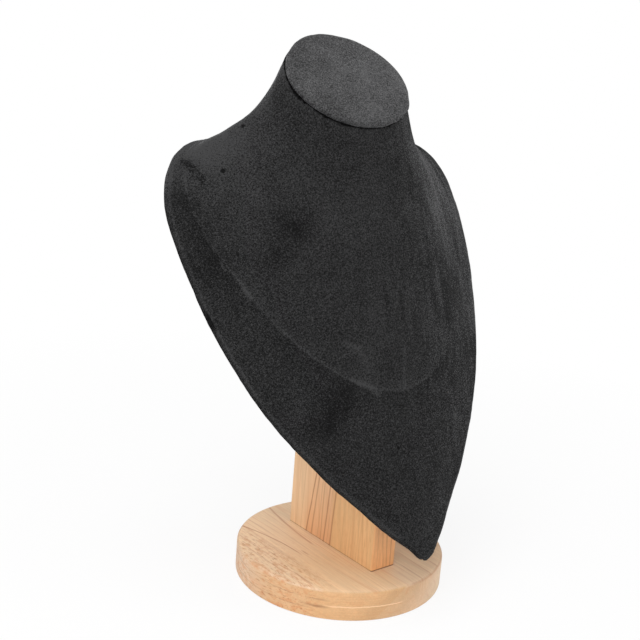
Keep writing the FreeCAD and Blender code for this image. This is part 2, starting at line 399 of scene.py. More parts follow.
# The glued cloth makes the rim a little fuller than the form, more so on the right and at the shoulders
left_cloth = 1.4 * ramp(rim_y, 174.0, 160.0) * ramp(rim_y, 16.0, 32.0)
left_cloth += 2.34 * hump(rim_x, -85.0, 12.0) * hump(rim_y, 253.0, 10.0)
left_cloth -= 0.9 * hump(rim_y, 199.0, 15.0) + 1.5 * hump(rim_y, 35.0, 12.5) + 0.7 * hump(rim_y, 64.0, 20.0)
right_cloth = 2.0 * ramp(rim_y, 24.0, 44.0) * np.maximum(ramp(rim_y, 200.0, 170.0), 0.2)
right_cloth += 1.8 * ramp(rim_y, 216.0, 236.0) * ramp(rim_x, 30.0, 55.0)
cloth = np.where(rim_x < 0, left_cloth, right_cloth * ramp(rim_x, 0.0, 20.0))

# Gap in the rim's edge on the left
gap_index = int(np.argmin(np.linalg.norm(rim_ring - [-98.8, 154.9, 0.0], axis=1)))
gap_depth, gap_half_length, gap_half_height = 0.7, 5.4, 1.5
gap_run = rim_ring[(gap_index + 1) % around] - rim_ring[gap_index - 1]
gap_run /= np.linalg.norm(gap_run)
gap_offset = flat - (rim_ring[gap_index] + [0, 0, -1.1])
gap_along = gap_offset @ gap_run
gap_across = np.linalg.norm(gap_offset - np.outer(gap_along, gap_run), axis=1)
notch = np.exp(-(gap_along / gap_half_length) ** 4) * np.exp(-(gap_across / gap_half_height) ** 4)

from_rim = np.linalg.norm(flat - rim_places, axis=1)
from_ridge = np.linalg.norm(flat - np.tile(ridge_ring, (rows, 1)), axis=1)
moved = at_rim * (edge_noise + lumps) + edge * (right_fullness + left_fullness + blunting + cloth)
flat += np.tile(outward, (rows, 1)) * (moved - gap_depth * notch)[:, None]

faces = ring_faces(rows, around) + end_fans(rows, around, len(flat), len(flat) + 1)
verts = np.r_[flat, [[0, 140.0, rim_back_z + 1.2]], [top_middle]]
bust = mesh_object("bust_suede", to_world(verts), faces)
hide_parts("bust_form")

# Shades of the suede, kept on its points, in the bust's own frame: dark smudges on the cloth, painted shade in the
# wrinkled patch, and painted light over the left shoulder, along the neck and below the cap

smudges_painted_light_and_shade = sum(strength * blob(flat, centre, radii) * (0.75 + 0.6 * smooth_noise(flat, 9.0, seed))
          for strength, centre, radii, seed in (
              (-1.6, (-51.5, 194.5, 31.0), (15.0, 16.0, 24.0), 2.0),
              (-1.0, (-62.5, 181.0, 23.5), (10.0, 11.0, 16.0), 3.0),
              (-1.25, (-39.5, 96.0, 14.5), (12.0, 13.0, 16.0), 6.0),
              (-1.35, (-48.5, 89.0, 9.8), (14.0, 12.0, 16.0), 6.5),
              (-0.6, (-57.0, 86.0, 6.0), (12.0, 10.0, 16.0), 7.5),
              (-0.8, (-99.0, 220.0, 5.5), (9.0, 15.0, 14.0), 4.0),
              (-0.6, (-96.0, 201.0, 8.0), (8.0, 16.0, 14.0), 4.0),
              (-1.1, (-91.8, 185.0, 9.0), (9.0, 11.0, 12.0), 4.5),
              # The next two: painted shade over the wrinkled patch by the left shoulder, the second following its
              # folds
              (-1.2, (-91.5, 243.8, 4.6), (7.0, 7.0, 9.0), 4.0),
              (-0.9 * (0.7 + 0.6 * folds), (-89.2, 236.5, 7.6), (6.0, 12.0, 9.0), 4.0),
              (-0.7, (57.0, 150.0, 21.0), (10.0, 26.0, 16.0), 9.5),
              (0.5, (-29.0, 122.0, 25.3), (12.0, 8.0, 12.0), 7.5),
              (0.5, (-22.0, 112.0, 23.5), (6.0, 11.0, 12.0), 8.5)))
# Painted light over the left shoulder and near the tip, painted sheen along the neck's left edge; lighter too at the
# rim's upper left
smudges_painted_light_and_shade += sum(strength * blob(flat, centre, radii) for strength, centre, radii in (
    (0.7, (-103.0, 238.0, 0.0), (10.0, 16.0, 12.0)),
    (2.0, (-78.0, 254.0, 8.0), (48.0, 28.0, 34.0)),
    (0.4, (-78.0, 228.0, 15.0), (40.0, 40.0, 34.0)),
    (0.35, (0.0, 14.0, 0.0), (40.0, 44.0, 40.0)),
    (1.0, (-50.0, 270.0, 27.0), (9.0, 16.0, 12.0)),
    (1.0, (-39.0, 284.0, 38.0), (7.0, 14.0, 12.0))))
# Painted light just below the cap, against the shadow of its overhang
from_top = np.linalg.norm(flat - np.tile(top_ring, (rows, 1)), axis=1)
smudges_painted_light_and_shade += np.where(row_of < body_end + 1, 0.5 * hump(from_top, 0.0, 4.5), 0.0)
add_attribute(bust, "smudges_painted_light_and_shade", smudges_painted_light_and_shade)

# Light line along the ridge, fainter on the right
along_ridge = 0.75 + 0.5 * smooth_noise(flat, 22.0, 3.9)
ridge_line = hump(from_ridge, 0.0, 0.85) * along_ridge * np.clip((60.0 - flat[:, 0]) / 60.0, 0.35, 1)
add_attribute(bust, "ridge", ridge_line)

# Painted highlight: a light line just inside the rim's front edge. Painted shade: the rim's side, darkest toward its
# back. Darker too along the edge near the tip.
rim_painted_light_and_shade = np.where((row_of >= band_start - 2) & (row_of < ridge_row), hump(from_rim, 1.2, 1.05), 0.0)
rim_painted_light_and_shade *= 0.85 + 0.5 * smooth_noise(flat, 14.0, 6.6)
rim_painted_light_and_shade -= 1.1 * ((row_of >= rim_back_row) & (row_of < rim_front_row))
rim_painted_light_and_shade -= 0.35 * ((row_of >= rim_front_row) & (row_of < band_start - 2))
rim_painted_light_and_shade -= 0.9 * hump(from_rim, 0.0, 1.4) * hump(rim_y, 8.0, 13.0) * (rim_x < 4.0)
add_attribute(bust, "rim", rim_painted_light_and_shade * (1 - notch))

# Painted shade: black in the groove below the cap and in the gap in the rim
painted_seam_shade = np.clip(1.2 * notch, 0, 1)
painted_seam_shade[body_end * around:] = np.repeat([darkness for _, _, darkness in groove_profile] + [1.0], around)
add_attribute(bust, "painted_seam_shade", painted_seam_shade)

# Painted shade: the band is darker, most of all at the ridge. Painted light: the cloth just above the ridge is
# lighter
band_painted_shade_and_light = np.where(row_of < ridge_row, 0.35 + 0.65 * np.exp(-from_ridge / 10.0), -0.5 * hump(from_ridge, 0.0, 7.0))
add_attribute(bust, "band_painted_shade_and_light", band_painted_shade_and_light * (row_of >= band_start))

# How far the cloth is brushed: on the right, most of all high up. The suede is also painted darker by it, as painted
# shade on the right side
brushed = ramp(flat[:, 0], 5.0, 50.0) * (0.5 + 0.5 * ramp(flat[:, 1], 60.0, 120.0)) + 0.12
add_attribute(bust, "brushed", brushed)

# Back panel inside the hem

panel_profile = [(-hem_width - 0.6, rim_back_z + 1.1), (-hem_width - 0.6, rim_back_z + 0.35),
                 (-hem_width - 0.9, rim_back_z + 0.08), (-hem_width - 1.6, rim_back_z)]
panel_rings = [rim_ring + outward * off + [0, 0, z] for off, z in panel_profile]
panel_edge = panel_rings[-1]
panel_middle = np.array([0, 150.0, rim_back_z])
for s in np.linspace(0, 0.97, 26)[1:]:
    panel_rings.append(panel_edge * (1 - s) + panel_middle * s)
panel_grid = np.array(panel_rings).reshape(-1, 3)
panel_faces = ring_faces(len(panel_rings), around)
panel_faces += end_fans(len(panel_rings), around, len(panel_grid) + 1, len(panel_grid))
panel_verts = np.r_[panel_grid, [panel_middle], [panel_middle + [0, 0, 1.1]]]
panel = mesh_object("back_panel", to_world(panel_verts), [f[::-1] for f in panel_faces])
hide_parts("back_board")

# Neck cap, an oval lid with a rolled edge

cap_matrix = (bust_matrix @ Matrix.Translation(Vector((0, neck_top_along, neck_top_rise)))
              @ Matrix.Rotation(-tilt, 4, "X"))
cap_columns = 320
angles = np.arange(cap_columns) / cap_columns * 2 * math.pi
cap_circle = np.c_[np.cos(angles), np.sin(angles), np.zeros(cap_columns)]


def cap_oval(out, share, z):
    a, b = neck_half_width + cap_overhang + out, neck_half_depth + cap_overhang + out
    return cap_circle * [a * share, b * share, 0.0] + [0, 0, z]


# Rows of its edge, from below: (way out, height)
cap_underside, cap_flat_inset = 0.35, 4.2
cap_profile = [(-6.0, cap_underside), (-2.2, 0.3), (-1.0, 0.25), (-0.35, 0.45), (-0.05, 0.9), (0.0, 1.5), (0.0, 2.1),
               (-0.15, 2.8), (-0.5, 3.45), (-1.05, 3.95), (-1.8, 4.3), (-2.8, 4.5), (-cap_flat_inset, cap_height)]
cap_rings = [cap_oval(out, 1.0, z) for out, z in cap_profile]
for k in 1 - np.linspace(0, 0.985, 44)[1:]:
    cap_rings.append(cap_oval(-cap_flat_inset, k, cap_height + cap_crown * (1 - k ** 2)))
cap_grid = np.array(cap_rings)
cap_rows = len(cap_grid)
cap_flat = cap_grid.reshape(-1, 3)
cap_row = np.repeat(np.arange(cap_rows), cap_columns)
cap_normals = grid_normals(cap_grid)
cap_push = 0.16 * smooth_noise(cap_flat, 16.0, 2.2) + 0.06 * smooth_noise(cap_flat, 5.0, 3.3)
cap_flat += cap_normals * cap_push[:, None]

# Uneven outline, with bulges and dips around it: (degrees, spread, amount)
edge_shape = ((-36.0, 7.0, 1.3), (77.0, 6.0, -0.6), (62.0, 8.0, 0.4), (96.0, 8.0, 0.4), (138.0, 18.0, -1.3),
              (80.0, 38.0, -0.5), (34.0, 20.0, -1.0), (166.0, 15.0, -1.1))
rim_zone = hump(cap_row, 5, 4.0)
cap_edge = 0.28 * smooth_noise(cap_flat, 6.0, 7.7) + 0.16 * smooth_noise(cap_flat, 2.2, 1.1)
for degrees, spread, amount in edge_shape:
    turned = (np.degrees(np.tile(angles, cap_rows)) - degrees + 180.0) % 360.0 - 180.0
    cap_edge += amount * hump(turned, 0.0, spread)
cap_flat += np.tile(cap_circle, (cap_rows, 1)) * (rim_zone * cap_edge)[:, None]
cap_flat[:, 2] += rim_zone * 0.22 * smooth_noise(cap_flat, 3.0, 5.1)
cap_faces = ring_faces(cap_rows, cap_columns)
cap_faces += end_fans(cap_rows, cap_columns, len(cap_flat) + 1, len(cap_flat))
cap_verts = np.r_[cap_flat, [[0, 0, cap_height + cap_crown]], [[0, 0, cap_underside]]]
cap_world = (cap_verts @ np.array(cap_matrix.to_3x3()).T + np.array(cap_matrix.translation)) * MM
cap = mesh_object("neck_cap_suede", cap_world, cap_faces)
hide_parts("neck_cap")

# Its lowest rows are in the groove, and take its painted shade
cap_painted_seam_shade = np.array([1.0, 1.0, 1.0, 0.6, 0.2] + [0.0] * (cap_rows - 5))[cap_row]
add_attribute(cap, "painted_seam_shade", np.r_[cap_painted_seam_shade, 0.0, 1.0])

# Wooden base with softly rounded edges

base_columns = 288
r, lower_rounding = 0.5 * base_diameter, 0.7
base_profile = []
for i in range(7):
    t = 0.5 * math.pi * i / 6
    base_profile.append((r - lower_rounding + lower_rounding * math.sin(t),
                         lower_rounding - lower_rounding * math.cos(t)))
base_profile += [(r, z) for z in (2.5, 4.5, 6.5, 8.2, 8.6, 8.85, 9.1, 9.5, 11.0, 13.0, 15.0)]
for i in range(9):
    t = 0.5 * math.pi * i / 8
    base_profile.append((r - base_rounding + base_rounding * math.cos(t),
                         base_thickness - base_rounding + base_rounding * math.sin(t)))
base_profile += [((r - base_rounding) * k, base_thickness) for k in np.linspace(1, 0.02, 40)[1:]]
base_angles = np.arange(base_columns) / base_columns * 2 * math.pi
base_rings = [np.c_[rad * np.cos(base_angles), rad * np.sin(base_angles), np.full(base_columns, z)]
              for rad, z in base_profile]
base_flat = np.array(base_rings).reshape(-1, 3)
base_faces = ring_faces(len(base_rings), base_columns)
base_faces += end_fans(len(base_rings), base_columns, None, len(base_flat))
# Underside: one flat face
base_faces.append(tuple(reversed(range(base_columns))))
base = mesh_object("base_wood", np.r_[base_flat, [[0, 0, base_thickness]]] * MM, base_faces)
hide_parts("base_disc")


# Materials

def new_material(name):
    material = bpy.data.materials.new(name)
    material.use_nodes = True
    return material, Graph(material), material.node_tree.nodes["Principled BSDF"]


class Graph:
    """Short calls for shader nodes: each returns the output socket of a new node."""

    def __init__(self, owner):
        self.nodes = owner.node_tree.nodes
        self.links = owner.node_tree.links

    def put(self, socket, value):
        if isinstance(value, bpy.types.NodeSocket):
            self.links.new(value, socket)
        elif value is not None:
            socket.default_value = (*value, 1.0) if socket.type == "RGBA" else value

    def fill(self, node, values):
        """Values or sockets for a node's inputs, by their names."""
        for name, value in values.items():
            self.put(node.inputs[name], value)

    def math(self, operation, a, b=None, c=None, clamp=False):
        node = self.nodes.new("ShaderNodeMath")
        node.operation = operation
        node.use_clamp = clamp
        for socket, value in zip(node.inputs, (a, b, c)):
            self.put(socket, value)
        return node.outputs[0]

    def vary(self, total, value, amount):
        """The total, plus the amount times what the value is past 0.5."""
        return self.math("MULTIPLY_ADD", self.math("SUBTRACT", value, 0.5), amount, total)

    def vector(self, operation, a, b=None):
        node = self.nodes.new("ShaderNodeVectorMath")
        node.operation = operation
        self.put(node.inputs[0], a)
        self.put(node.inputs["Scale"] if operation == "SCALE" else node.inputs[1], b)
        return node.outputs["Value" if operation in ("DOT_PRODUCT", "LENGTH") else "Vector"]

    def attribute(self, name):
        node = self.nodes.new("ShaderNodeAttribute")
        node.attribute_name = name
        return node.outputs["Fac"]

    def coordinates(self, location=(0, 0, 0), rotation=(0, 0, 0), scale=(1, 1, 1)):
        coord = self.nodes.new("ShaderNodeTexCoord")
        turn = self.nodes.new("ShaderNodeMapping")
        self.fill(turn, {"Vector": coord.outputs["Object"], "Rotation": rotation})
        stretch = self.nodes.new("ShaderNodeMapping")
        self.fill(stretch, {"Vector": turn.outputs[0], "Location": location, "Scale": scale})
        return stretch.outputs[0]

    def noise(self, vector, scale, detail=2.0, roughness=0.5):
        node = self.nodes.new("ShaderNodeTexNoise")
        self.fill(node, {"Vector": vector, "Scale": scale, "Detail": detail, "Roughness": roughness})
        return node.outputs["Fac"]

    def ramp(self, value, stops):
        node = self.nodes.new("ShaderNodeValToRGB")
        elements = node.color_ramp.elements
        while len(elements) < len(stops):
            elements.new(0.5)
        for element, (position, color) in zip(elements, stops):
            element.position = position
            element.color = (*color, 1.0)
        self.put(node.inputs[0], value)
        return node.outputs[0]

    def range(self, value, low, high, out_low=0.0, out_high=1.0):
        node = self.nodes.new("ShaderNodeMapRange")
        for socket, v in zip(node.inputs, (value, low, high, out_low, out_high)):
            self.put(socket, v)
        return node.outputs[0]

    def mix(self, share, a, b, blend="MIX"):
        node = self.nodes.new("ShaderNodeMix")
        node.data_type = "RGBA"
        node.blend_type = blend
        self.put(node.inputs[0], share)
        self.put(node.inputs[6], a)
        self.put(node.inputs[7], b)
        return node.outputs[2]

    def bump(self, height, distance, strength=1.0, normal=None):
        node = self.nodes.new("ShaderNodeBump")
        self.fill(node, {"Height": height, "Distance": distance, "Strength": strength, "Normal": normal})
        return node.outputs[0]


# Fine marks on the suede: (start, end, width, strength), in the bust's own frame
scratches = [((-90.8, 183.6, 9.6), (-89.3, 179.2, 9.8), 1.3, 0.55),
             ((-83.8, 172.4, 12.1), (-82.4, 166.6, 12.3), 1.4, 0.38),
             ((-82.4, 166.6, 12.3), (-80.0, 161.8, 12.9), 1.9, 0.5),
             ((-33.2, 106.9, 19.4), (-28.5, 104.4, 19.8), 1.8, 0.25),
             ((-28.5, 104.4, 19.8), (-22.6, 100.6, 19.8), 2.6, 0.34),
             ((-22.6, 100.6, 19.8), (-17.0, 96.2, 19.4), 2.3, 0.42),
             ((-35.5, 127.2, 24.4), (-27.6, 122.9, 25.3), 2.2, 0.22),
             ((-27.6, 122.9, 25.3), (-23.5, 115.8, 24.2), 2.2, 0.22),
             # Dark strokes: painted shade in the creases of the wrinkled patch by the left shoulder
             ((-93.0, 241.0, 5.4), (-91.6, 239.0, 6.1), 1.0, -0.5),
             ((-91.0, 241.8, 5.7), (-89.0, 240.2, 6.8), 1.0, -0.5),
             ((-90.6, 238.9, 6.6), (-91.4, 236.0, 6.7), 0.9, -0.45),
             ((-88.9, 238.9, 7.4), (-88.0, 236.2, 8.2), 0.9, -0.5),
             ((-89.6, 235.2, 7.9), (-89.4, 232.4, 8.5), 0.9, -0.5),
             ((-87.4, 234.2, 9.0), (-86.6, 231.4, 9.8), 0.9, -0.45),
             ((-88.6, 231.6, 9.0), (-87.9, 229.0, 9.8), 0.9, -0.4),
             ((-92.8, 246.0, 3.4), (-90.9, 243.4, 4.9), 2.4, -0.5),
             ((-93.6, 243.6, 4.2), (-92.6, 242.2, 4.9), 1.6, -0.35),
             # A dark line: painted shade of a crease by the cap
             ((8.5, 302.3, 45.0), (15.2, 297.7, 46.2), 1.2, -0.4),
             ((6.1, 149.0, 34.6), (5.0, 133.0, 31.5), 2.4, -0.25),
             ((-4.5, 154.0, 35.8), (-7.1, 128.0, 30.2), 2.0, -0.2),
             ((3.9, 120.0, 27.8), (1.0, 97.0, 21.0), 1.8, 0.22)]
scratches += [(centre, centre, radius, -1.3 * darkness) for centre, radius, darkness in specks]


def grey(value):
    return (value, value, value * 1.02)


def suede(name, dark, mid, light, marks=False, painted_seam_shade=True, sheen=0.3, cloudy=1.0, grainy=1.0):
    """Short napped suede: pixel-fine grain, soft clouds, and streaks where it was brushed on the right side."""
    material, g, shader = new_material(name)
    here = g.coordinates(rotation=(-lean, 0, 0))
    fine = g.noise(here, 1900.0, 1.0, 0.5)
    grain = g.noise(here, 1050.0, 2.0, 0.6)
    cloud = g.noise(here, 75.0, 3.0, 0.6)
    wide = g.noise(here, 17.0, 3.0, 0.5)
    total = g.math("MULTIPLY", g.math("SUBTRACT", fine, 0.5), 1.9 * grainy)
    total = g.vary(total, grain, 2.1 * grainy)
    total = g.vary(total, cloud, 0.32 * cloudy)
    total = g.vary(total, wide, 0.30 * cloudy)
    if marks:
        combed = g.noise(g.coordinates(rotation=(-lean, 0, 0), scale=(1.0, 0.06, 1.0)), 190.0, 3.0, 0.6)
        side_share = g.attribute("brushed")
        total = g.math("MULTIPLY", total, g.math("MULTIPLY_ADD", side_share, 0.8, 1.0))
        brushed = g.math("MULTIPLY", g.math("SUBTRACT", combed, 0.5), side_share)
        total = g.math("MULTIPLY_ADD", brushed, 1.5, total)
        # Painted shade: darker where brushed, on the right side
        total = g.math("MULTIPLY_ADD", side_share, -0.26, total)
        # Painted light and shade kept on the points: lighter places, the band's shade and the rim's highlight and
        # shade, with the smudges and the ridge's light line
        for attribute, amount in (("smudges_painted_light_and_shade", 0.34), ("ridge", 0.34), ("band_painted_shade_and_light", -0.15), ("rim", 0.46)):
            total = g.math("MULTIPLY_ADD", g.attribute(attribute), amount, total)
        place = millimetres(g)[3]
        for start, end, width, strength in scratches:
            total = g.math("ADD", total, segment(g, place, start, end, width, strength))
    total = g.math("ADD", total, 0.5, clamp=True)
    color = g.ramp(total, [(0.0, grey(dark)), (0.5, grey(mid)), (1.0, grey(light))])
    # Painted shade: near black in the groove below the cap and in the gap in the rim
    if painted_seam_shade:
        color = g.mix(g.math("MULTIPLY", g.attribute("painted_seam_shade"), 0.93), color, (0.001, 0.001, 0.001))
    sheen_tint = g.ramp(total, [(0.1, grey(0.12)), (0.5, grey(0.46)), (1.0, grey(1.0))])
    pile = g.math("MULTIPLY_ADD", fine, 0.6, grain)
    g.fill(shader, {"Base Color": color, "Roughness": 0.95, "Specular IOR Level": 0.10, "Sheen Weight": sheen,
                    "Sheen Roughness": 0.4, "Sheen Tint": sheen_tint,
                    "Normal": g.bump(pile, 0.0004, 0.5, g.bump(cloud, 0.0010, 0.2))})
    return material


def millimetres(g):
    """The object's own coordinates as three sockets and as one vector, in millimetres."""
    coord = g.nodes.new("ShaderNodeTexCoord")
    scaled = g.vector("SCALE", coord.outputs["Object"], 1.0 / MM)
    parts = g.nodes.new("ShaderNodeSeparateXYZ")
    g.put(parts.inputs[0], scaled)
    return (*parts.outputs, scaled)


def segment(g, place, start, end, width, strength):
    """A soft line between two points of the bust's own frame: the strength in its middle, 0 at its width."""
    first, last = (Vector(to_world(np.array(point)) / MM) for point in (start, end))
    run = last - first
    offset = g.vector("SUBTRACT", place, tuple(first))
    along = g.vector("DOT_PRODUCT", offset, tuple(run))
    share = g.math("DIVIDE", along, max(run.length_squared, 1e-6), clamp=True)
    nearest = g.vector("SCALE", tuple(run), share)
    distance = g.vector("LENGTH", g.vector("SUBTRACT", offset, nearest))
    return g.range(distance, width, 0.2 * width, 0.0, strength)


def stroke(g, across, along, line):
    """A single grain line: across = a + b * along + c * along ** 2, between start and end."""
    a, b, c, start, end, width, strength = line
    centre = g.math("MULTIPLY_ADD", g.math("MULTIPLY_ADD", along, c, b), along, a)
    distance = g.math("ABSOLUTE", g.math("SUBTRACT", across, centre))
    shade = g.range(distance, width, 0.15 * width, 0.0, strength)
    shade = g.math("MULTIPLY", shade, g.range(along, start - 3.0, start + 3.0))
    return g.math("MULTIPLY", shade, g.range(along, end + 3.0, end - 3.0))


def wood(name, rotation, seed, pink, yellow, region, tint, shade, pores, strokes, foot_line=0.0):
    """Pale hardwood: two tones, fine fibre, faint wavy growth lines, short pores and a few strong lines."""
    material, g, shader = new_material(name)
    place = millimetres(g)

    def grain(stretch, size, detail, roughness, location=(0, 0, 0)):
        """Noise drawn out along the fibres."""
        here = g.coordinates(location=location, rotation=rotation, scale=(1.0, stretch, 1.0))
        return g.noise(here, size, detail, roughness)

    fibre = grain(0.03, 1100.0, 2.0, 0.6)
    streak = grain(0.05, 170.0, 4.0, 0.65, (seed, 0, 0))
    patch = grain(0.35, 26.0, 3.0, 0.5, (0, seed, 0))
    field = grain(0.045, 24.0, 2.0, 0.4, (0, 0, seed))
    pore = grain(0.13, 1500.0, 1.5, 0.5, (seed, seed, 0))
    mottle = grain(0.4, 420.0, 3.0, 0.6, (seed, 0, seed))
    wobble = g.math("MULTIPLY", g.math("SUBTRACT", patch, 0.5), 8.0)
    color = g.mix(region(g, place, wobble), pink, yellow)
    # The tint: on the base, a paler top and right of the wall, partly painted light; on the post, redder wood
    color = g.mix(tint[0](g, place, wobble), color, tint[1])
    tone = g.vary(g.vary(g.vary(1.0, streak, 0.26), fibre, 0.30), patch, 0.16)
    # The shade: painted shade on the base's wall and edges, painted light on the post's front
    color = g.mix(1.0, color, g.math("MULTIPLY", tone, shade(g, place)), "MULTIPLY")
    wave = g.math("SINE", g.math("MULTIPLY", field, 150.0))
    growth = g.math("MULTIPLY", g.range(wave, 0.45, 1.0), g.range(streak, 0.42, 0.66, 0.0, 0.36))
    color = g.mix(growth, color, srgb(196, 128, 84))
    spread = pores(g, place, wobble)
    blotches = g.math("MULTIPLY", g.range(mottle, 0.48, 0.64), g.math("MULTIPLY", spread, 0.62))
    color = g.mix(blotches, color, srgb(206, 134, 80))
    color = g.mix(g.math("MULTIPLY", g.range(pore, 0.58, 0.72, 0.0, 0.8), spread), color, srgb(172, 106, 62))
    drift = g.math("MULTIPLY", g.math("SUBTRACT", streak, 0.5), 1.6)
    for dark, mask, (across_axis, along_axis), lines in strokes:
        for line in lines:
            share = stroke(g, g.math("ADD", place[across_axis], drift), place[along_axis], line)
            if mask:
                share = g.math("MULTIPLY", share, mask(g, place))
            color = g.mix(share, color, dark)
    if foot_line:
        front = g.range(place[1], -38.5, -39.5, 0.45 * foot_line, foot_line)
        color = g.mix(g.math("MULTIPLY", g.range(place[2], 18.75, 18.35), front), color, srgb(92, 50, 28))
    height = g.math("MULTIPLY_ADD", fibre, 0.4, g.math("MULTIPLY", pore, -0.5))
    g.fill(shader, {"Base Color": color, "Roughness": 0.5, "Specular IOR Level": 0.35,
                    "Normal": g.bump(height, 0.0002, 0.2)})
    return material


def srgb(red, green, blue):
    def linear(v):
        v /= 255.0
        return v / 12.92 if v <= 0.04045 else ((v + 0.055) / 1.055) ** 2.4
    return (linear(red), linear(green), linear(blue))


def set_material(obj, material):
    obj.data.materials.clear()
    obj.data.materials.append(material)


suede_body = suede("suede_charcoal", 0.0045, 0.0168, 0.038, marks=True)
# The cap is the same suede painted lighter: painted light and sheen on its upward face
suede_cap_painted_lighter = suede("suede_cap_painted_lighter", 0.018, 0.050, 0.101, cloudy=2.2, grainy=0.95)
felt_back = suede("back_felt", 0.008, 0.020, 0.036, painted_seam_shade=False, sheen=0.2)
set_material(bust, suede_body)
set_material(cap, suede_cap_painted_lighter)
set_material(panel, felt_back)


def slanted_line(g, place):
    """How far to the right the slanted line on the base's wall is."""
    return g.math("MULTIPLY_ADD", place[2], 1.1, -21.5)


def base_yellow(g, place, wobble):
    """The plain yellow part of the base: in front, between its left edge and the slanted line."""
    x, y = place[0], place[1]
    right = g.math("SUBTRACT", slanted_line(g, place), g.math("ADD", x, g.math("MULTIPLY", wobble, 0.25)))
    left = g.range(g.math("ADD", x, g.math("MULTIPLY", wobble, 0.2)), -49.0, -46.5)
    wall = g.math("MULTIPLY", on_wall(g, place), g.range(g.math("ADD", x, wobble), -64.0, -50.0, 0.65, 1.0))
    share = g.math("MULTIPLY", g.range(right, -2.0, 1.5), g.math("MAXIMUM", left, wall))
    share = g.math("MAXIMUM", share, g.math("MULTIPLY", g.range(right, -34.0, -4.0, 0.0, 0.75), on_wall(g, place)))
    return g.math("MULTIPLY", share, g.range(g.math("ADD", y, wobble), 10.0, -14.0))


def base_pale_and_painted_light(g, place, wobble):
    """Paler wood on the top and on the right of the wall: partly the wood's own tone, partly painted light on the
    top, which faces the lamps, and on the shaded right of the wall.
    """
    right = g.math("ADD", place[0], g.math("MULTIPLY", wobble, 0.25))
    right = g.math("SUBTRACT", right, slanted_line(g, place))
    right = g.math("MULTIPLY", g.range(right, 30.0, 60.0, 0.0, 1.0), on_wall(g, place))
    return g.math("MAXIMUM", g.range(place[2], 17.3, 17.95, 0.0, 0.55), right)


def base_shade(g, place):
    """Painted shade: the wall and the broken edge are a little darker than the top. Darker still along the slanted
    line on the wall.
    """
    shade = g.math("ADD", g.range(place[2], 17.98, 17.8, 1.02, 0.86), g.range(place[2], 16.9, 16.2, 0.0, 0.05))
    right = g.math("SUBTRACT", place[0], slanted_line(g, place))
    dark = g.math("MULTIPLY", g.range(right, -16.0, -7.0), g.range(right, 26.0, 12.0))
    dark = g.math("MULTIPLY", dark, on_wall(g, place))
    return g.math("MULTIPLY_ADD", dark, -0.11, shade)


def base_pores(g, place, wobble):
    left = g.range(g.math("ADD", place[0], wobble), -34.0, -48.0)
    return g.math("MULTIPLY_ADD", left, g.range(g.math("ADD", place[1], wobble), -44.0, -34.0, 0.0, 0.70), 0.10)


def on_top(g, place):
    return g.range(place[2], 16.0, 17.2)


def on_wall(g, place):
    return g.range(place[2], 17.4, 16.6)


def front_wall(g, place):
    return g.math("MULTIPLY", on_wall(g, place), g.range(place[1], -36.0, -42.0))


# Strong lines of the grain, in millimetres: (a, b, c, start, end, width, strength), as stroke() takes them
brown, red_brown, pale = srgb(128, 74, 42), srgb(178, 104, 66), srgb(250, 216, 176)
top_lines = [(-31.4, -0.012, -0.0035, 0.0, 70.0, 0.75, 0.62), (-17.3, 0.03, 0.0016, 6.0, 70.0, 1.1, 0.50),
             (-48.5, 0.0, 0.0, -33.0, -18.0, 0.9, 0.55), (-45.6, -0.02, 0.0, 4.0, 10.0, 0.55, 0.85),
             (-27.9, 0.0, 0.0, -2.4, 1.0, 0.8, 0.85), (-23.5, 0.02, 0.0, 2.0, 50.0, 0.5, 0.22),
             (-40.5, -0.02, -0.001, -12.0, 40.0, 0.5, 0.28), (-54.0, 0.0, 0.0, -14.0, 26.0, 0.5, 0.30),
             (15.0, 0.05, 0.0, -64.0, -42.0, 0.8, 0.30), (24.0, 0.05, 0.0, -60.0, -30.0, 0.7, 0.26),
             (33.0, 0.04, 0.0, -56.0, -20.0, 0.7, 0.26), (6.0, 0.03, 0.0, -64.0, -48.0, 0.6, 0.22)]
wall_lines = [(7.6, 0.0, 0.0, -52.0, -46.5, 1.1, 0.70), (11.8, 0.0, 0.0, -51.0, -46.5, 0.8, 0.45)]
side_lines = [(12.5, 0.01, 0.0, -30.0, 40.0, 0.5, 0.25), (5.5, -0.01, 0.0, -36.0, 30.0, 0.5, 0.25)]
fine_wall_lines = [(level, 0.012, 0.0, -43.0, -16.0, 0.32, 0.26) for level in (15.4, 13.9, 12.3, 10.9, 5.4, 3.6)]
bright_wall_line = [(8.7, 0.004, 0.0, -45.0, -5.0, 0.42, 0.75)]
# Painted shade: a dark line along the top's rounded edge, on the right
edge_painted_shade_line = [(17.3, 0.0, 0.0, 2.0, 70.0, 0.7, 0.3)]
wood_base = wood("wood_base", (0, 0, 0), 1.3, srgb(237, 202, 167), srgb(225, 179, 131), base_yellow,
                 (base_pale_and_painted_light, srgb(250, 220, 183)), base_shade, base_pores,
                 [(red_brown, on_top, (0, 1), top_lines), (brown, on_wall, (2, 0), wall_lines),
                  (brown, on_wall, (2, 1), side_lines), (srgb(200, 140, 92), front_wall, (2, 0), fine_wall_lines),
                  (pale, front_wall, (2, 0), bright_wall_line), (red_brown, None, (2, 0), edge_painted_shade_line)])


def post_yellow(g, place, wobble):
    return g.range(g.math("ADD", place[1], g.math("MULTIPLY", wobble, 0.4)), 0.0, -3.0)


def post_shade(g, place):
    """Painted light: the front is a little lighter than the sides."""
    return g.range(place[1], -39.4, -38.8, 1.05, 0.97)


def post_pores(g, place, wobble):
    return g.range(place[1], -30.0, 20.0, 0.20, 0.05)


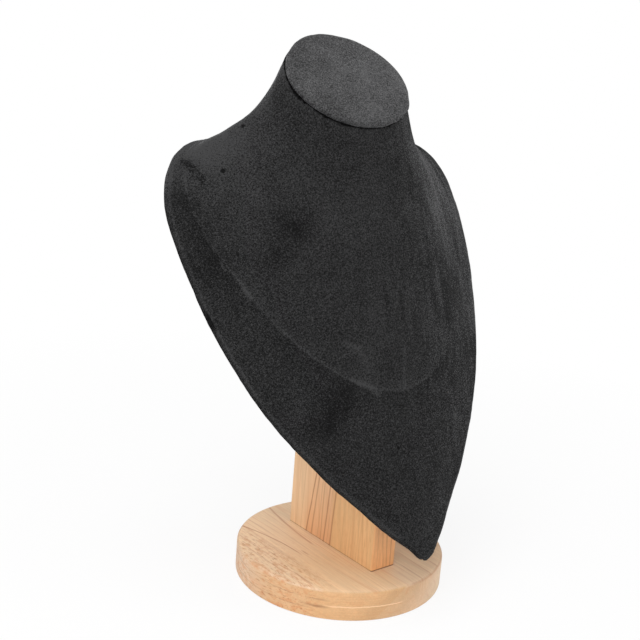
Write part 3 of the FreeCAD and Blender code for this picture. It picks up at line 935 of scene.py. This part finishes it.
def post_red(g, place, wobble):
    """Redder wood between the strong lines, most of it low down."""
    share = g.math("MULTIPLY", g.range(g.math("ADD", place[1], wobble), 27.0, 20.0), g.range(place[1], -2.5, -0.5))
    share = g.math("MULTIPLY", share, g.range(g.math("ADD", place[2], wobble), 60.0, 20.0, 0.10, 0.50))
    return g.math("MAXIMUM", share, g.range(place[1], -38.8, -39.4, 0.0, 0.50))


def post_front(g, place):
    return g.range(place[1], -38.6, -39.2)


def post_sides(g, place):
    return g.range(place[1], -39.4, -38.8)


post_lines = [(25.3, -0.144, 0.0, 10.0, 75.0, 0.8, 0.66), (19.5, -0.100, 0.0, 10.0, 90.0, 0.95, 0.50),
              (8.8, -0.015, 0.0, 10.0, 80.0, 0.70, 0.42), (6.5, -0.067, 0.0, 10.0, 90.0, 0.80, 0.62),
              (0.2, -0.058, 0.0, 10.0, 120.0, 0.95, 0.60), (12.6, -0.05, 0.0, 10.0, 60.0, 0.45, 0.30),
              (3.4, -0.06, 0.0, 10.0, 60.0, 0.45, 0.28), (29.0, -0.03, 0.0, 10.0, 120.0, 0.5, 0.20),
              (33.5, -0.02, 0.0, 10.0, 150.0, 0.5, 0.18)]
post_lines += [(y, -0.02, 0.0, 10.0, top, 0.5, 0.17) for y, top in
               ((-11.0, 60.0), (-15.5, 36.0), (-17.8, 38.0), (-20.2, 34.0), (-22.6, 38.0), (-25.0, 50.0),
                (-27.0, 48.0), (-31.0, 34.0), (-34.5, 40.0))]
front_lines = [(2.4, -0.119, 0.0, 10.0, 60.0, 0.5, 0.40), (3.7, -0.068, 0.0, 10.0, 60.0, 0.45, 0.50),
               (6.3, -0.04, 0.0, 10.0, 60.0, 0.6, 0.48), (-4.5, -0.03, 0.0, 10.0, 60.0, 0.45, 0.25)]
wood_post = wood("wood_post", (math.radians(94), 0, 0), 4.2, srgb(239, 199, 156), srgb(236, 189, 136), post_yellow,
                 (post_red, srgb(229, 158, 104)), post_shade, post_pores,
                 [(srgb(158, 88, 48), post_sides, (1, 2), post_lines),
                  (srgb(150, 86, 50), post_front, (0, 2), front_lines)], foot_line=0.9)
set_material(base, wood_base)

steel, g, shader = new_material("screw_steel")
turning_marks = g.noise(g.coordinates(scale=(1, 1, 0.2)), 900.0)
g.fill(shader, {"Base Color": g.ramp(turning_marks, [(0.3, (0.42, 0.42, 0.43)), (0.7, (0.62, 0.62, 0.62))]),
                "Metallic": 1.0, "Roughness": 0.35})
for name, material in (("post", wood_post), ("post_dowel_1", wood_post), ("post_dowel_2", wood_post),
                       ("base_screw_1", steel), ("base_screw_2", steel)):
    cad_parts[name].data.materials[0] = material

# Floor, background, lamps and camera

floor_mesh = bpy.data.meshes.new("floor")
floor_reach = 60.0
floor_corners = [(x * floor_reach, y * floor_reach, 0) for x, y in ((-1, -1), (1, -1), (1, 1), (-1, 1))]
floor_mesh.from_pydata(floor_corners, [], [(0, 1, 2, 3)])
floor = bpy.data.objects.new("floor", floor_mesh)
floor.location.z = -0.0002
scene.collection.objects.link(floor)

# Paper that looks white to the camera, and less so near the stand, where its shadow lies
paper, g, shader = new_material("floor_paper")
g.fill(shader, {"Base Color": (0.86, 0.86, 0.86), "Roughness": 1.0, "Specular IOR Level": 0.0})
glow = g.nodes.new("ShaderNodeEmission")
g.fill(glow, {"Color": (1, 1, 1), "Strength": 1.0})
path = g.nodes.new("ShaderNodeLightPath").outputs
seen = g.math("MAXIMUM", path["Is Camera Ray"], path["Is Glossy Ray"])
seen = g.math("MAXIMUM", seen, path["Is Transmission Ray"])
away = g.vector("LENGTH", g.nodes.new("ShaderNodeTexCoord").outputs["Object"])
blend = g.nodes.new("ShaderNodeMixShader")
g.put(blend.inputs[0], g.math("MULTIPLY", seen, g.range(away, 0.12, 0.55, 0.86, 1.0)))
g.put(blend.inputs[1], shader.outputs[0])
g.put(blend.inputs[2], glow.outputs[0])
g.put(g.nodes["Material Output"].inputs["Surface"], blend.outputs[0])
floor.data.materials.append(paper)

# White background, half as bright in the light that it gives
world = bpy.data.worlds.new("studio")
scene.world = world
world.use_nodes = True
g = Graph(world)
camera_ray = g.nodes.new("ShaderNodeLightPath").outputs["Is Camera Ray"]
g.fill(g.nodes["Background"], {"Color": (1, 1, 1), "Strength": g.range(camera_ray, 0.0, 1.0, 0.50, 1.0)})


def area_lamp(name, place, target, size, power):
    data = bpy.data.lights.new(name, "AREA")
    data.shape = "DISK"
    data.size = size
    data.energy = power
    obj = bpy.data.objects.new(name, data)
    obj.location = place
    obj.rotation_euler = (Vector(target) - Vector(place)).to_track_quat("-Z", "Y").to_euler()
    scene.collection.objects.link(obj)


area_lamp("key", (-1.1, -0.8, 0.95), (0, 0, 0.12), 1.5, 13.0)
area_lamp("top", (-0.45, -0.1, 1.35), (0, 0, 0.2), 1.1, 8.4)
area_lamp("edge", (0.8, -0.9, 0.6), (0.05, 0, 0.02), 0.6, 2.2)

# Fitted to the base and the post in the photograph. Lengths are in radii of the base, seen in 640 pixels.
camera_radius, picture_px, sensor = 0.5 * base_diameter * MM, 640.0, 36.0
elevation, roll, azimuth, focal_px = 0.2652, 0.0791, -0.6935, 1130.0
distance, shift_right, shift_up = 11.097, -0.3637, 2.4126
towards = Vector((math.sin(azimuth) * math.cos(elevation), -math.cos(azimuth) * math.cos(elevation),
                  math.sin(elevation)))
right = Vector((math.cos(azimuth), math.sin(azimuth), 0.0))
up = towards.cross(right)
camera_data = bpy.data.cameras.new("camera")
camera_data.sensor_width = sensor
camera_data.lens = sensor * focal_px / picture_px
camera = bpy.data.objects.new("camera", camera_data)
side = right * math.cos(roll) + up * math.sin(roll)
above = up * math.cos(roll) - right * math.sin(roll)
place = (right * shift_right + up * shift_up + towards * distance) * camera_radius
camera.matrix_world = Matrix.Translation(place) @ Matrix((side, above, towards)).transposed().to_4x4()
scene.collection.objects.link(camera)
scene.camera = camera
scene.view_settings.view_transform = "Standard"
